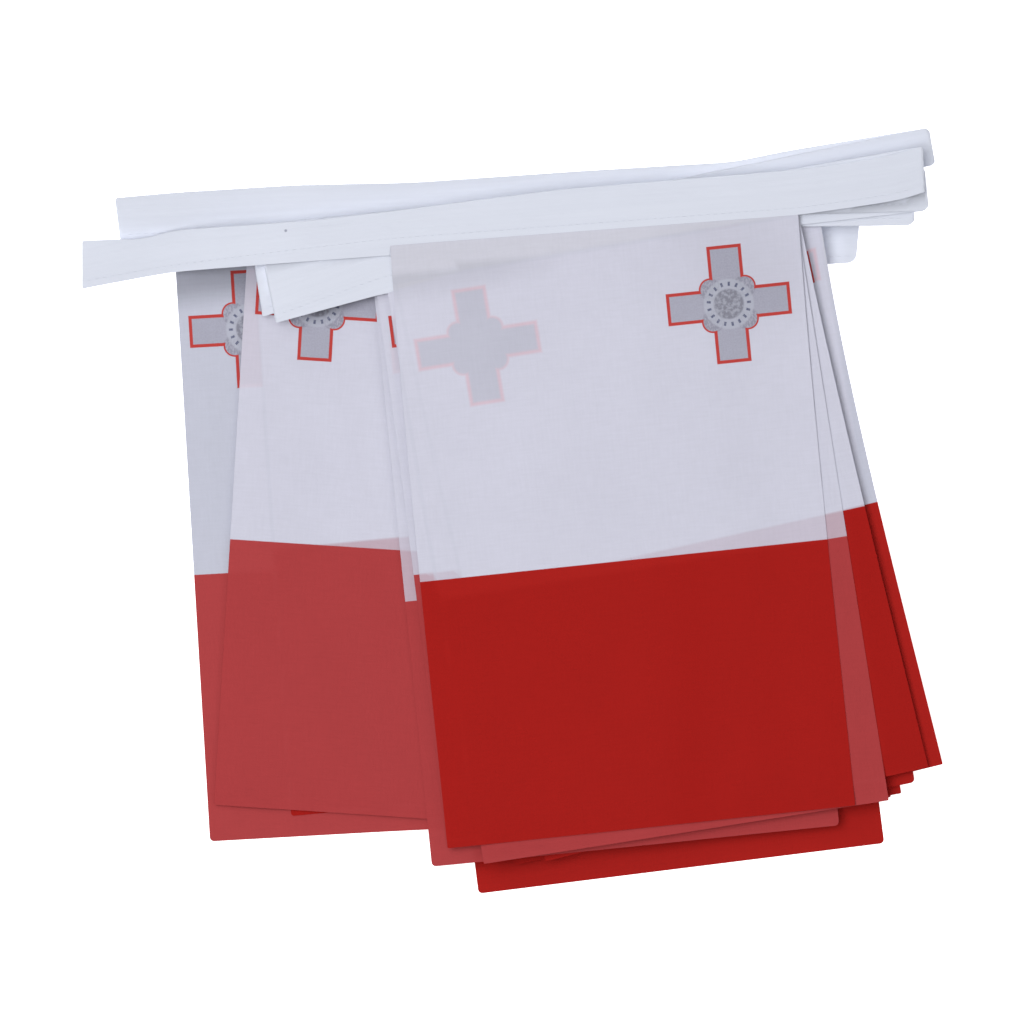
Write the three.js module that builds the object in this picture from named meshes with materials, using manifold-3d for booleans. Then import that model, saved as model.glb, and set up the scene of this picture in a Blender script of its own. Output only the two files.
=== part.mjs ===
// A string of flag bunting, folded back and forth into a flat stack and laid down.
// Millimetres, +X to the right and +Y up as the stack is seen from above, +Z out of the surface it lies on.
import * as THREE from "three";
import { mergeVertices } from "three/addons/utils/BufferGeometryUtils.js";
import Module from "manifold-3d";

// Driving dimensions
const TAPE_WIDTH = 16.5;
const FLAG_FOOT_WIDTH = 150.3;
const SHEET = 1;
const GAP = 0.3;
const PITCH = SHEET + GAP;

// How a sheet lies over the edges of those below it: it stays up for KEEP, then comes down within FALL.
const CELL = 10;
const KEEP = CELL * Math.SQRT2;
const FALL = 24;

// Facets of a bowed side edge, of a rounded fold and along a fold, and how far facets may be flattened
const BOW_STEPS = 5;
const FOLD_STEPS = 6;
const FOLD_SECTIONS = 4;
const FOLD_ROOT = 0.8;
const FOLD_RADIUS = SHEET + GAP / 2;
const FLATTEN = 0.03;

// Colours of the printed side, of the paler back and of the tape
const FRONT_RED = 0xab1f1c;
const BACK_RED = 0xb5454a;
const TAPE_WHITE = 0xd9e0ea;

// Turns a short table into a list of objects, one for each row
function table(columns, rows) {
  const names = columns.split(" ");
  return rows.map((row) => Object.fromEntries(names.map((name, column) => [name, row[column]])));
}

// The folds of the tape, from its loose end on top of the stack to the end underneath: where the tape's
// open edge meets the fold, by how many degrees the tape is turned there, and its width at the fold. They
// lie left and right in turn, beginning at the left.
const FOLDS = table("x y turn width", [
  [-157.7, 81.8, 0, 17.6],
  [150.5, 116.8, 2.4, 16.8],
  [-85.4, 69.4, 11.4, 21.6],
  [152.1, 110.3, 5.5, 16.5],
  [-90.4, 71.7, 8.8, 19.6],
  [146.8, 105, 1, 16.5],
  [-83.4, 72.4, 11.8, 16.5],
  [143.8, 114.3, 2.4, 16.5],
  [-131.6, 87.1, 0, 13],
  [154.7, 127.1, 10, 13.9],
  [-142.7, 99.1, 7.2, 16.3],
  [142, 117.3, 2.5, 16.5],
  [-65.4, 86, 2.8, 16.5],
  [138.2, 116.2, 2.5, 16.5],
  [-61.8, 79.8, 2.5, 16.5],
  [126.6, 91.5, -5, 16.5],
]);

// The flags, from the top of the stack down, one to each pass of the tape: the left corner of the head
// and of the foot, how many degrees each of these edges is turned, how wide the head lies, and how far the
// sides bow to the left.
const FLAGS = table("headX headY headTurn headWidth footX footY footTurn bow", [
  [-44.5, 97.4, 4.3, 150, -23.4, -123.5, 6, 0.8],
  [-46, 83.7, 9.5, 152.4, -10.1, -129.2, 8.9, 0],
  [-42.3, 85.9, 8.8, 150, 6.2, -126.1, 12.4, 0.9],
  [-50.1, 84.5, 7.6, 150, -23.9, -120.9, 6.2, -0.5],
  [-44.4, 85, 7.5, 150, -10.3, -127.7, 8.9, 0],
  [-50.7, 83.4, 8, 150, -29.2, -130.4, 5.8, 0],
  [-34.6, 82, 9.9, 150, 12.4, -128.4, 13.7, 2.3],
  [-97.2, 91.5, 2.5, 150, -109.3, -107.8, -3.7, 0],
  [-94.5, 93.4, 4.8, 150, -80.9, -111.9, 5.4, 0],
  [-124.1, 100, 3, 150, -110.8, -121.3, 3.2, 0],
  [-36.6, 89.3, 8.9, 150, 1, -129.9, 11.7, 0],
  [-40.4, 90.4, 8.3, 150, -6.2, -124.6, 9.6, 0],
  [-41.2, 88.2, 9.1, 150, -4.8, -129.4, 9.9, 0],
  [-41.5, 87.1, 8.6, 150, -9.2, -127.2, 8.5, 0],
  [-39, 71.7, 7.2, 150, -12.1, -140.5, 7.1, 0],
]);

// Where the tape bends in its own plane, or is gathered to another width, also at the corners of a head:
// which pass, a point on its open edge, and its width
const BENDS = table("pass x y width", [
  [0, -132, 86.6, 13.8],
  [0, -122, 88.2, 15.3],
  [0, -76, 93.7, 12.6],
  [0, -44.5, 97.4, 12.4],
  [0, 18, 102.11, 15.8],
  [7, -97.2, 91.5, 13],
  [8, -94.5, 93.4, 11.8],
  [8, 54.97, 105.95, 14.5],
  [9, -124.1, 100, 17.1],
  [9, -80, 102.32, 17.5],
  [9, -36, 104.62, 16.1],
  [9, 25.69, 107.85, 17.1],
  [9, 83, 111.9, 16.5],
  [9, 106, 117.1, 15.9],
]);

// The point that lies along and across from a corner whose edge is turned by some degrees
function offset(corner, turn, along, across) {
  const centre = new THREE.Vector2();
  const edge = new THREE.Vector2(along, across).rotateAround(centre, THREE.MathUtils.degToRad(turn));
  return edge.add(corner);
}

// The corners of a flag, with its head just clear of the tape's open edge
function flagCorners(row) {
  const head = new THREE.Vector2(row.headX, row.headY);
  const foot = new THREE.Vector2(row.footX, row.footY);
  return {
    headLeft: offset(head, row.headTurn, 0, -GAP),
    headRight: offset(head, row.headTurn, row.headWidth, -GAP),
    footLeft: foot,
    footRight: offset(foot, row.footTurn, FLAG_FOOT_WIDTH, 0),
  };
}

// Points from one corner of a flag to another, bowed to the left by some millimetres, most above the middle
function sideEdge(from, to, bow) {
  if (bow === 0) return [from];
  return Array.from({ length: BOW_STEPS }, (_, step) => {
    const part = step / BOW_STEPS;
    const point = new THREE.Vector2().lerpVectors(from, to, part);
    const down = from.y > to.y ? part : 1 - part;
    point.x -= 4 * bow * down * (1 - down) * (1.5 - down);
    return point;
  });
}

function flagOutline(row) {
  const { headLeft, headRight, footLeft, footRight } = flagCorners(row);
  const left = sideEdge(headLeft, footLeft, row.bow);
  const right = sideEdge(footRight, headRight, row.bow);
  return [...left, footLeft, ...right, headRight];
}

// The tape's open edge in one pass, from left to right, with the tape's width there: the left fold, any
// bends, the corners of the flag's head where there is no bend, and the right fold
function openEdge(pass) {
  const row = FLAGS[pass];
  const head = new THREE.Vector2(row.headX, row.headY);
  const bends = BENDS.filter((bend) => bend.pass === pass);
  const corners = [head, offset(head, row.headTurn, row.headWidth, 0)]
    .filter((corner) => bends.every((bend) => Math.abs(bend.x - corner.x) > 1))
    .map(({ x, y }) => ({ x, y, width: TAPE_WIDTH }));
  return [FOLDS[pass], FOLDS[pass + 1], ...bends, ...corners].sort((a, b) => a.x - b.x);
}

// How many degrees the tape is turned at a place on its open edge, if that is not at a fold
function turnBetween(before, after) {
  return THREE.MathUtils.radToDeg(Math.atan2(after.y - before.y, after.x - before.x));
}

function tapeOutline(pass) {
  const places = openEdge(pass);
  const lower = places.map(({ x, y }) => new THREE.Vector2(x, y));
  const upper = places.map(({ turn, width }, index) =>
    offset(lower[index], turn ?? turnBetween(lower[index - 1], lower[index + 1]), 0, width),
  );
  return [...lower, ...upper.reverse()];
}

// What each layer of the stack covers: a flag and its pass of the tape
const LAYERS = FLAGS.map((row, pass) => [flagOutline(row), tapeOutline(pass)]);

// How far a point is outside an outline, or 0 within it
function distanceTo(outline, x, y) {
  let inside = false;
  let nearest = Infinity;
  outline.forEach((a, index) => {
    const b = outline[(index + 1) % outline.length];
    const dx = b.x - a.x;
    const dy = b.y - a.y;
    const part = THREE.MathUtils.clamp(((x - a.x) * dx + (y - a.y) * dy) / (dx * dx + dy * dy), 0, 1);
    nearest = Math.min(nearest, Math.hypot(a.x + part * dx - x, a.y + part * dy - y));
    if (a.y > y !== b.y > y && x < a.x + (dx * (y - a.y)) / dy) inside = !inside;
  });
  return inside ? 0 : nearest;
}

// How far a layer lifts what lies on it at a point: 1 on and close around it, 0 well away from it
function lift(layer, x, y) {
  const distance = Math.min(...LAYERS[layer].map((outline) => distanceTo(outline, x, y)));
  return 1 - THREE.MathUtils.smoothstep(distance, KEEP, KEEP + FALL);
}

// The underside of a layer at a corner of the common grid: one pitch for each layer below it
const knownHeights = new Map();
function gridHeight(layer, column, row) {
  if (layer === LAYERS.length - 1) return 0;
  const key = `${layer} ${column} ${row}`;
  if (!knownHeights.has(key)) {
    const below = gridHeight(layer + 1, column, row);
    knownHeights.set(key, below + PITCH * lift(layer + 1, column * CELL, row * CELL));
  }
  return knownHeights.get(key);
}

// The underside of a layer at any point, on the two triangles that split each cell of the grid
function heightAt(layer, x, y) {
  const column = Math.floor(x / CELL);
  const row = Math.floor(y / CELL);
  const along = x / CELL - column;
  const across = y / CELL - row;
  const near = gridHeight(layer, column, row);
  const far = gridHeight(layer, column + 1, row + 1);
  const side = along > across ? gridHeight(layer, column + 1, row) : gridHeight(layer, column, row + 1);
  return along > across
    ? near + along * (side - near) + across * (far - side)
    : near + across * (side - near) + along * (far - side);
}

// A closed sheet over the whole cells that an outline touches, on the common grid
function sheetGeometry(layer, outline) {
  const box = new THREE.Box2().setFromPoints(outline);
  const firstColumn = Math.floor(box.min.x / CELL) - 1;
  const firstRow = Math.floor(box.min.y / CELL) - 1;
  const columns = Math.ceil(box.max.x / CELL) + 1 - firstColumn;
  const rows = Math.ceil(box.max.y / CELL) + 1 - firstRow;
  const perLevel = (columns + 1) * (rows + 1);
  const positions = [];
  for (const rise of [0, SHEET]) {
    for (let row = 0; row <= rows; row += 1) {
      for (let column = 0; column <= columns; column += 1) {
        const height = gridHeight(layer, firstColumn + column, firstRow + row);
        positions.push((firstColumn + column) * CELL, (firstRow + row) * CELL, height + rise);
      }
    }
  }
  const indices = [];
  const corner = (column, row) => row * (columns + 1) + column;
  for (let row = 0; row < rows; row += 1) {
    for (let column = 0; column < columns; column += 1) {
      const near = corner(column, row);
      const right = corner(column + 1, row);
      const far = corner(column + 1, row + 1);
      const up = corner(column, row + 1);
      indices.push(near, far, right, near, up, far);
      indices.push(near + perLevel, right + perLevel, far + perLevel);
      indices.push(near + perLevel, far + perLevel, up + perLevel);
    }
  }
  const rim = [];
  for (let column = 0; column < columns; column += 1) rim.push(corner(column, 0));
  for (let row = 0; row < rows; row += 1) rim.push(corner(columns, row));
  for (let column = columns; column > 0; column -= 1) rim.push(corner(column, rows));
  for (let row = rows; row > 0; row -= 1) rim.push(corner(0, row));
  rim.forEach((from, index) => {
    const to = rim[(index + 1) % rim.length];
    indices.push(from, to, to + perLevel, from, to + perLevel, from + perLevel);
  });
  const geometry = new THREE.BufferGeometry();
  geometry.setAttribute("position", new THREE.Float32BufferAttribute(positions, 3));
  geometry.setIndex(indices);
  return geometry;
}

// An upright prism on an outline, taller than the stack
function prismGeometry(outline) {
  const height = (LAYERS.length + 2) * PITCH;
  const shape = new THREE.Shape(outline);
  const geometry = new THREE.ExtrudeGeometry(shape, { depth: height, bevelEnabled: false });
  return geometry.translate(0, 0, -PITCH);
}

// The rounded fold that joins a pass to the next one down: a half round bar along the fold, whose flat
// root reaches a little way into both passes
function foldGeometry(pass) {
  const fold = FOLDS[pass + 1];
  const outward = fold.x > 0 ? 1 : -1;
  const profile = [{ out: -FOLD_ROOT, up: -1 }];
  for (let step = 0; step <= FOLD_STEPS; step += 1) {
    const angle = Math.PI * (step / FOLD_STEPS - 0.5);
    profile.push({ out: FOLD_RADIUS * Math.cos(angle), up: Math.sin(angle) });
  }
  profile.push({ out: -FOLD_ROOT, up: 1 });
  const positions = [];
  for (let section = 0; section <= FOLD_SECTIONS; section += 1) {
    profile.forEach(({ out, up }) => {
      const { x, y } = offset(fold, fold.turn, outward * out, (fold.width * section) / FOLD_SECTIONS);
      const bottom = heightAt(pass + 1, x, y);
      const top = heightAt(pass, x, y) + SHEET;
      positions.push(x, y, THREE.MathUtils.mapLinear(up, -1, 1, bottom, top));
    });
  }
  const around = FOLD_STEPS + 3;
  const indices = [];
  const quad = (a, b, c, d) => indices.push(a, b, c, a, c, d);
  for (let section = 0; section < FOLD_SECTIONS; section += 1) {
    for (let side = 0; side < around; side += 1) {
      const next = (side + 1) % around;
      const start = section * around;
      quad(start + side, start + next, start + around + next, start + around + side);
    }
  }
  const last = FOLD_SECTIONS * around;
  for (let side = 1; side < around - 1; side += 1) {
    indices.push(0, side + 1, side);
    indices.push(last, last + side, last + side + 1);
  }
  if (outward > 0) indices.reverse();
  const geometry = new THREE.BufferGeometry();
  geometry.setAttribute("position", new THREE.Float32BufferAttribute(positions, 3));
  geometry.setIndex(indices);
  return geometry;
}

const wasm = await Module();
wasm.setup();

function toSolid(geometry) {
  const bare = geometry.clone();
  bare.deleteAttribute("normal");
  bare.deleteAttribute("uv");
  const merged = mergeVertices(bare, 1e-4);
  const mesh = new wasm.Mesh({
    numProp: 3,
    vertProperties: new Float32Array(merged.attributes.position.array),
    triVerts: new Uint32Array(merged.index.array),
  });
  return new wasm.Manifold(mesh);
}

function toGeometry(solid) {
  const { vertProperties, triVerts } = solid.asOriginal().simplify(FLATTEN).getMesh();
  const geometry = new THREE.BufferGeometry();
  geometry.setAttribute("position", new THREE.BufferAttribute(vertProperties, 3));
  geometry.setIndex(new THREE.BufferAttribute(triVerts, 1));
  geometry.computeVertexNormals();
  return geometry;
}

// The cloth of a layer within an outline
function cutSheet(layer, outline) {
  return toSolid(sheetGeometry(layer, outline)).intersect(toSolid(prismGeometry(outline)));
}

function clothMesh(name, solid, color) {
  const material = new THREE.MeshStandardMaterial({ color, roughness: 0.85, metalness: 0 });
  const mesh = new THREE.Mesh(toGeometry(solid), material);
  mesh.name = name;
  return mesh;
}

function makeFlag(layer) {
  const name = `flag_${String(layer + 1).padStart(2, "0")}`;
  const frontIsUp = layer % 2 === 0;
  return clothMesh(name, cutSheet(layer, LAYERS[layer][0]), frontIsUp ? FRONT_RED : BACK_RED);
}

// The tape is one strip: its passes, and a fold between each two
function makeTape() {
  let strip = cutSheet(0, LAYERS[0][1]);
  for (let pass = 1; pass < LAYERS.length; pass += 1) {
    strip = strip.add(cutSheet(pass, LAYERS[pass][1]));
    strip = strip.add(toSolid(foldGeometry(pass - 1)));
  }
  return clothMesh("tape", strip, TAPE_WHITE);
}

const bunting = new THREE.Group();
bunting.add(makeTape());
LAYERS.forEach((_, layer) => bunting.add(makeFlag(layer)));

export default bunting;
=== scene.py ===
# %% [markdown]
# A string of flag bunting, folded back and forth
#
# Fifteen small flags of thin printed cloth are sewn into a white heading tape, and the whole string is
# folded zig-zag into a flat stack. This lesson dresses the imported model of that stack: it starts from the
# frame, which holds the plain solids, and puts real cloth in their place.

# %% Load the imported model
import math
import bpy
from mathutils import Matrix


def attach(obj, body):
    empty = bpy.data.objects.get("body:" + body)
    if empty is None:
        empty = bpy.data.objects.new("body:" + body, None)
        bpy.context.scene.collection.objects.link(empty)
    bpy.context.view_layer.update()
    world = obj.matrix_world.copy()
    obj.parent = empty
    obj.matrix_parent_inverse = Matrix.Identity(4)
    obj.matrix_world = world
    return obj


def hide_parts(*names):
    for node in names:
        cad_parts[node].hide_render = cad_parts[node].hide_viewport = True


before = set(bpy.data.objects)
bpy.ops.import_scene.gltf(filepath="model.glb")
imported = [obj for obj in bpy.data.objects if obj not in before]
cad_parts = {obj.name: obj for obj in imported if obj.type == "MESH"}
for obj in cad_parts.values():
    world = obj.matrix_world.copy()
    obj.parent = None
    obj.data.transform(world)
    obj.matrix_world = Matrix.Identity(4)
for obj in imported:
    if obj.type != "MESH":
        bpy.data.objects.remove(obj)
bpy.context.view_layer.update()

from types import SimpleNamespace

import bpy
import numpy as np

# %% [markdown]
# The sizes are those of the real string, in millimetres. Only the finished meshes are turned into metres,
# so that the numbers here can be checked with a tape measure. The solids are a millimetre thick to be
# handled; the cloth in this lesson is a fifth of that, and lies within them.

# %% Driving dimensions
METRE = 0.001
PITCH = 1.3
KEEP = 14.1
FALL = 24.0
HEAD_GAP = 0.3
FOOT_WIDTH = 150.3
TAPE_WIDTH = 16.5
CLOTH = 0.2
PLY = 0.2
TAPE_HALF = 0.36


def table(columns, rows):
    """Turns rows of numbers under named columns into a list of small records."""
    names = columns.split()
    return [SimpleNamespace(**dict(zip(names, row))) for row in rows]


# %% [markdown]
# The string is described as a maker would lay it: where the tape turns back, and where the head and the
# foot of each flag come to lie. The stack is then only a matter of counting layers from the top down.
# Flags with an odd number show their printed front, the others their back, because the tape is turned
# over at each fold.

# %% Where the tape turns back and where each flag lies
FOLDS = table("x y turn width corner", [
    (-157.7, 81.8, 0, 17.6, 0.5),
    (150.5, 116.8, 2.4, 16.8, 0.5),
    (-85.4, 69.4, 11.4, 21.6, 0.5),
    (152.1, 110.3, 5.5, 16.5, 2.2),
    (-90.4, 71.7, 8.8, 19.6, 0.5),
    (146.8, 105, 1, 16.5, 2.2),
    (-83.4, 72.4, 11.8, 16.5, 0.5),
    (143.8, 114.3, 2.4, 16.5, 2.2),
    (-131.6, 87.1, 0, 13, 0.5),
    (154.7, 127.1, 10, 13.9, 1.5),
    (-142.7, 99.1, 7.2, 16.3, 0.5),
    (142, 117.3, 2.5, 16.5, 2.2),
    (-65.4, 86, 2.8, 16.5, 0.5),
    (138.2, 116.2, 2.5, 16.5, 2.2),
    (-61.8, 79.8, 2.5, 16.5, 0.5),
    (126.6, 91.5, -5, 16.5, 3),
])

FLAGS = table("head_x head_y head_turn head_width foot_x foot_y foot_turn bow corner", [
    (-44.5, 97.4, 4.3, 150, -23.4, -123.5, 6, 0.8, 0.5),
    (-46, 83.7, 9.5, 152.4, -10.1, -129.2, 8.9, 0, 0.5),
    (-42.9, 85.9, 8.8, 150, 6.2, -126.1, 12.4, 0.9, 0.5),
    (-50.1, 84.5, 7.6, 150, -23.9, -120.9, 6.2, -0.5, 0.5),
    (-44.4, 85, 7.5, 150, -10.3, -127.7, 8.9, 0, 0.5),
    (-50.7, 83.4, 8, 150, -29.2, -130.4, 5.8, 0, 1.6),
    (-34.6, 82, 9.9, 150, 12.4, -128.4, 13.7, 2.3, 0.5),
    (-97.2, 91.5, 2.5, 150, -109.3, -107.8, -3.7, 0, 1.6),
    (-94.5, 93.4, 4.8, 150, -80.9, -111.9, 5.4, 0, 1),
    (-124.1, 100, 3, 150, -110.8, -121.3, 3.2, 0, 1.6),
    (-36.6, 89.3, 8.9, 150, 1, -129.9, 11.7, 0, 1.6),
    (-40.4, 90.4, 8.3, 150, -6.2, -124.6, 9.6, 0, 0.5),
    (-41.2, 88.2, 9.1, 150, -4.8, -129.4, 9.9, 0, 0.5),
    (-41.5, 87.1, 8.6, 150, -9.2, -127.2, 8.5, 0, 0.5),
    (-39, 71.7, 7.2, 150, -12.1, -140.5, 7.1, 0, 1.6),
])

BENDS = table("layer x y width", [
    (0, -132, 86.6, 13.8),
    (0, -122, 88.2, 15.3),
    (0, -76, 93.7, 12.6),
    (0, -44.5, 97.4, 12.4),
    (0, 18, 102.11, 15.8),
    (0, 128, 111.9, 16.4),
    (0, 143, 114.3, 16.6),
    (7, -97.2, 91.5, 13),
    (8, -94.5, 93.4, 11.8),
    (8, 54.97, 105.95, 14.5),
    (9, -124.1, 100, 17.1),
    (9, -80, 102.32, 17.5),
    (9, -36, 104.62, 16.1),
    (9, 25.69, 107.85, 17.1),
    (9, 83, 111.9, 16.5),
    (9, 106, 117.1, 15.9),
])

LAYERS = range(len(FLAGS))


def front_is_up(layer):
    return layer % 2 == 0


print(len(FLAGS), "flags and", len(FOLDS) - 2, "folds")

# %% [markdown]
# Both outlines follow from the tables. A flag is four corners with straight or slightly bowed sides. The
# tape's open edge runs from fold to fold past the head of its flag, and the tape's folded edge lies one
# tape width further up. In the loose upper passes the back ply hangs a little lower than the front one,
# most of all at the corner of the flag.

# %% Outlines of the flags and of the tape
def turned(turn, along, across):
    """The step that goes along and across an edge turned by some degrees."""
    angle = math.radians(turn)
    cosine, sine = math.cos(angle), math.sin(angle)
    return np.array([along * cosine - across * sine, along * sine + across * cosine])


def flag_corners(row):
    head = np.array([row.head_x, row.head_y])
    foot = np.array([row.foot_x, row.foot_y])
    return SimpleNamespace(
        head_left=head + turned(row.head_turn, 0, -HEAD_GAP),
        head_right=head + turned(row.head_turn, row.head_width, -HEAD_GAP),
        foot_left=foot,
        foot_right=foot + turned(row.foot_turn, FOOT_WIDTH, 0),
    )


def bow_at(bow, part):
    """How far a side lies to the left of a straight line, at a part of the way from the head to the foot."""
    part = np.clip(part, 0, 1)
    return 4 * bow * part * (1 - part) * (1.5 - part)


def bowed_side(head, foot, bow, steps=9):
    part = np.linspace(0, 1, steps)[:, None]
    side = head + part * (foot - head)
    side[:, 0] -= bow_at(bow, part)[:, 0]
    return side


def flag_outline(row):
    corner = flag_corners(row)
    left = bowed_side(corner.head_left, corner.foot_left, row.bow)
    right = bowed_side(corner.head_right, corner.foot_right, row.bow)
    return np.vstack([left, right[::-1]])


def tape_places(layer):
    """The places that shape one pass of the tape, from left to right: x, y, turn and width."""
    row = FLAGS[layer]
    head = np.array([row.head_x, row.head_y])
    places = [(fold.x, fold.y, fold.turn, fold.width) for fold in FOLDS[layer:layer + 2]]
    places += [(bend.x, bend.y, None, bend.width) for bend in BENDS if bend.layer == layer]
    for x, y in (head, head + turned(row.head_turn, row.head_width, 0)):
        if all(abs(place[0] - x) > 1 for place in places):
            places.append((x, y, None, TAPE_WIDTH))
    places.sort(key=lambda place: place[0])
    shaped = []
    for index, (x, y, turn, width) in enumerate(places):
        if turn is None:
            before, after = places[index - 1], places[index + 1]
            turn = math.degrees(math.atan2(after[1] - before[1], after[0] - before[0]))
        shaped.append((x, y, turn, width))
    return np.array(shaped)


def tape_outline(layer):
    places = tape_places(layer)
    upper = [(x, y) + turned(turn, 0, width) for x, y, turn, width in places]
    return np.vstack([places[:, :2], upper[::-1]])


LOOSE = {row.layer: row for row in table("layer hang fade", [
    (0, 3.5, 150),
    (1, 3.5, 30),
    (2, 3.5, 30),
])}
OVERLAP = 6.0


def loose_strip(layer):
    """What a loose pass's back ply shows below the tape's open edge, with some of the tape above it."""
    row, loose = FLAGS[layer], LOOSE[layer]
    start = min(FOLDS[layer:layer + 2], key=lambda fold: fold.x)
    line = np.array([(start.x, start.y), (row.head_x, row.head_y), (row.head_x, row.head_y)])
    line[2] += turned(row.head_turn, loose.fade, 0)
    lower = line - [(0, 0), (0, loose.hang), (0, 0)]
    return np.vstack([lower, line[::-1] + (0, OVERLAP)])


FLAG_OUTLINES = [flag_outline(row) for row in FLAGS]
TAPE_OUTLINES = [tape_outline(layer) for layer in LAYERS]

# %% [markdown]
# How high a layer lies depends on what is beneath it. Each lower layer lifts the ones above by one pitch,
# also for a little way past its edge, and from there the upper cloth comes down in a soft slope. The sum
# is worked out once on a fine grid, and all sheets are laid on it, so they never cross.

# %% Heights of the layers
GRID_STEP = 2.0
GRID_X = np.arange(-176, 177, GRID_STEP)
GRID_Y = np.arange(-160, 161, GRID_STEP)


def inside_distance(outline, x, y):
    """How far points are inside an outline, in millimetres, with negative numbers outside."""
    nearest = np.full(np.shape(x), np.inf)
    inside = np.zeros(np.shape(x), bool)
    for (ax, ay), (bx, by) in zip(outline, np.roll(outline, -1, axis=0)):
        dx, dy = bx - ax, by - ay
        length = dx * dx + dy * dy
        if length < 1e-9:
            continue
        part = np.clip(((x - ax) * dx + (y - ay) * dy) / length, 0, 1)
        nearest = np.minimum(nearest, np.hypot(ax + part * dx - x, ay + part * dy - y))
        if dy != 0:
            inside ^= ((ay > y) != (by > y)) & (x < ax + dx * (y - ay) / dy)
    return np.where(inside, nearest, -nearest)


def layer_inside(layer, x, y):
    """How far points are inside a layer, be it in its flag or in its pass of the tape."""
    flag = inside_distance(FLAG_OUTLINES[layer], x, y)
    tape = inside_distance(TAPE_OUTLINES[layer], x, y)
    return np.maximum(flag, tape)


def smoothstep(value, low, high):
    part = np.clip((value - low) / (high - low), 0, 1)
    return part * part * (3 - 2 * part)


def stack_heights():
    """The underside of each layer on the grid, from the lowest up."""
    x, y = np.meshgrid(GRID_X, GRID_Y)
    heights = [np.zeros_like(x)]
    for layer in reversed(LAYERS[1:]):
        outside = -layer_inside(layer, x, y)
        heights.insert(0, heights[0] + PITCH * (1 - smoothstep(outside, KEEP, KEEP + FALL)))
    return heights


HEIGHTS = stack_heights()


def height_at(layer, x, y):
    """The underside of a layer at any points, between the corners of the grid."""
    column = np.clip((x - GRID_X[0]) / GRID_STEP, 0, len(GRID_X) - 1.001)
    row = np.clip((y - GRID_Y[0]) / GRID_STEP, 0, len(GRID_Y) - 1.001)
    i, j = column.astype(int), row.astype(int)
    along, across = column - i, row - j
    grid = HEIGHTS[layer]
    near = grid[j, i] * (1 - along) + grid[j, i + 1] * along
    far = grid[j + 1, i] * (1 - along) + grid[j + 1, i + 1] * along
    return near * (1 - across) + far * across


print("height of the stack, mm:", round(float(HEIGHTS[0].max()) + 1, 1))

# %% [markdown]
# No cloth lies quite flat. Each layer gets a slow waviness of its own, from a few long waves in random
# directions, seeded by its number, so that the stack is the same each time. A cloth simulation would find
# such waves too, but the layers are so close that it would mostly find collisions. A free edge lies down on
# what is beneath it, and the cloth beneath comes up to meet it, so edges throw thin shades only.

# %% Waviness of the cloth
def waviness(layer, x, y):
    """A smooth number from 0 to 1 at each point."""
    dice = np.random.default_rng(40 + layer)
    total = np.zeros(np.shape(x))
    for wavelength in (170, 120, 85, 60, 44):
        angle, phase = dice.uniform(0, 2 * math.pi, 2)
        along = x * math.cos(angle) + y * math.sin(angle)
        total += np.sin(2 * math.pi * along / wavelength + phase) * wavelength / 170
    return 0.5 + 0.5 * np.clip(total / 2.2, -1, 1)


TAPE_MIDDLE = 0.5
TAPE_WAVE = 0.1
BODY_REST = 0.14
BODY_WAVE = 0.5
EDGE_REACH = 9.0
UNDER_EDGE = 1.0


def tape_middle(layer, x, y):
    """Height of the middle of the tape, between its two plies."""
    return height_at(layer, x, y) + TAPE_MIDDLE + TAPE_WAVE * waviness(layer, x, y)


def edge_nearness(outline, x, y):
    """1 at an outline and 0 away from it."""
    return 1 - smoothstep(abs(inside_distance(outline, x, y)), 0, EDGE_REACH)


def flag_middle(layer, x, y, below_head):
    """A flag comes out between the plies of the tape and settles on what is beneath it."""
    rise = BODY_REST + BODY_WAVE * waviness(layer, x, y)
    if layer > 0:
        above = edge_nearness(FLAG_OUTLINES[layer - 1], x, y)
        rise = rise * (1 - above) + UNDER_EDGE * above
    own = edge_nearness(FLAG_OUTLINES[layer], x, y)
    rise = rise * (1 - own) + BODY_REST * own
    settled = smoothstep(below_head, 4, 16)
    return tape_middle(layer, x, y) * (1 - settled) + (height_at(layer, x, y) + rise) * settled


# %% [markdown]
# Thin cloth lets through what lies behind it. A see-through material would do that by itself, but sheets
# this close together are sorted wrongly by many viewers once the model is exported. So each flag's mesh
# carries measurements instead: how far each point is into the next flags, into their red, or into a tape.
# The finish turns these distances into tints, with edges as sharp as the real ones. The print isn't in
# quite the same place on every flag, so a table says how far it is off on some of them.

# %% What lies behind a point of a flag
RED_HEIGHT = 98.15
FAR = 30.0
HEAP = 38.0
PRINTS = {row.layer: row for row in table("layer shift up rise", [
    (1, 1.0, 0, 0.3),
    (2, 0, 0.5, 0),
    (3, -2.4, 0.2, 0),
    (5, -1.7, -0.35, 0),
    (6, 1.3, 1.2, 0),
    (7, -1.5, -0.35, -0.6),
    (9, -2.0, 0, -0.3),
    (10, -2.9, 0, 6.0),
])}
TRUE_PRINT = SimpleNamespace(shift=0, up=0, rise=0)


def print_place(layer, x, y):
    """Distance from the side edge that carries the emblem, and height above the foot, in the print."""
    row = FLAGS[layer]
    corner = flag_corners(row)
    side = 1 if front_is_up(layer) else -1
    foot = corner.foot_right if front_is_up(layer) else corner.foot_left
    head = corner.head_right if front_is_up(layer) else corner.head_left
    upward = (head - foot) / np.linalg.norm(head - foot)
    inward = -side * turned(row.foot_turn, 1, 0)
    across, up = np.linalg.solve(np.array([inward, upward]).T, np.array([x - foot[0], y - foot[1]]).reshape(2, -1))
    off = PRINTS.get(layer, TRUE_PRINT)
    above_red = np.clip((up - RED_HEIGHT) / (FOOT_WIDTH - RED_HEIGHT), 0, 1)
    up = up - off.up - off.rise * above_red
    return across.reshape(np.shape(x)) - off.shift, up.reshape(np.shape(x))


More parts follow.
